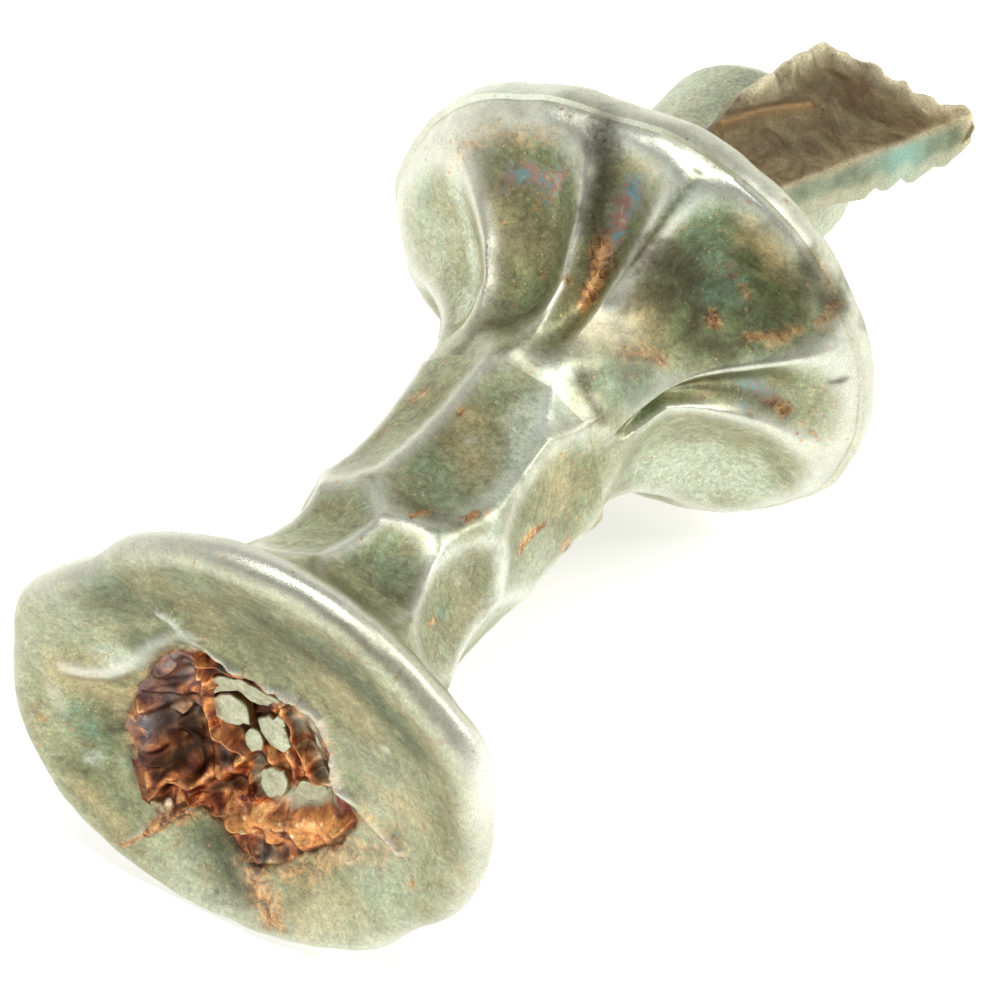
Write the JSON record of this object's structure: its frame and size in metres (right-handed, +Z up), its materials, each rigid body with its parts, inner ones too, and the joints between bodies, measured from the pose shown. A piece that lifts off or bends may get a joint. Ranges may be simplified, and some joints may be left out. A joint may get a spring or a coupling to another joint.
{
  "type": "double-headed nail",
  "caption": "Short double-headed nail in hammered white metal over a copper core, with a fluted head, a dished torn head and a bent torn tail.",
  "frame": {"origin": "centre of the bounding box's footprint, on the ground the nail lies on", "axes": "+Y along the nail from the small head to the torn tail, +Z up, +X to the right seen from the small head"},
  "size_m": [0.0194, 0.0412, 0.0179],
  "materials": {
    "white_metal": "hammered silver-grey metal, olive and green patina in the hollows, worn bright on the ridges",
    "torn_metal": "dark brown torn metal with a pale worn edge and teal stains",
    "copper": "raw copper, bright on the lumps and dark red-brown in the hollows",
    "pale_chip": "pale worn white metal"
  },
  "bodies": {
    "root": {"small_head": "white_metal", "faceted_shank": "white_metal", "large_head": "white_metal", "rear_collar": "white_metal", "torn_tail": "torn_metal", "core_pin": "copper", "copper_burr": "copper", "chip_large": "pale_chip", "chip_middle": "pale_chip", "chip_upper": "pale_chip", "chip_low": "pale_chip", "chip_right": "pale_chip", "chip_edge": "pale_chip", "chip_sliver": "pale_chip"}
  },
  "joints": []
}
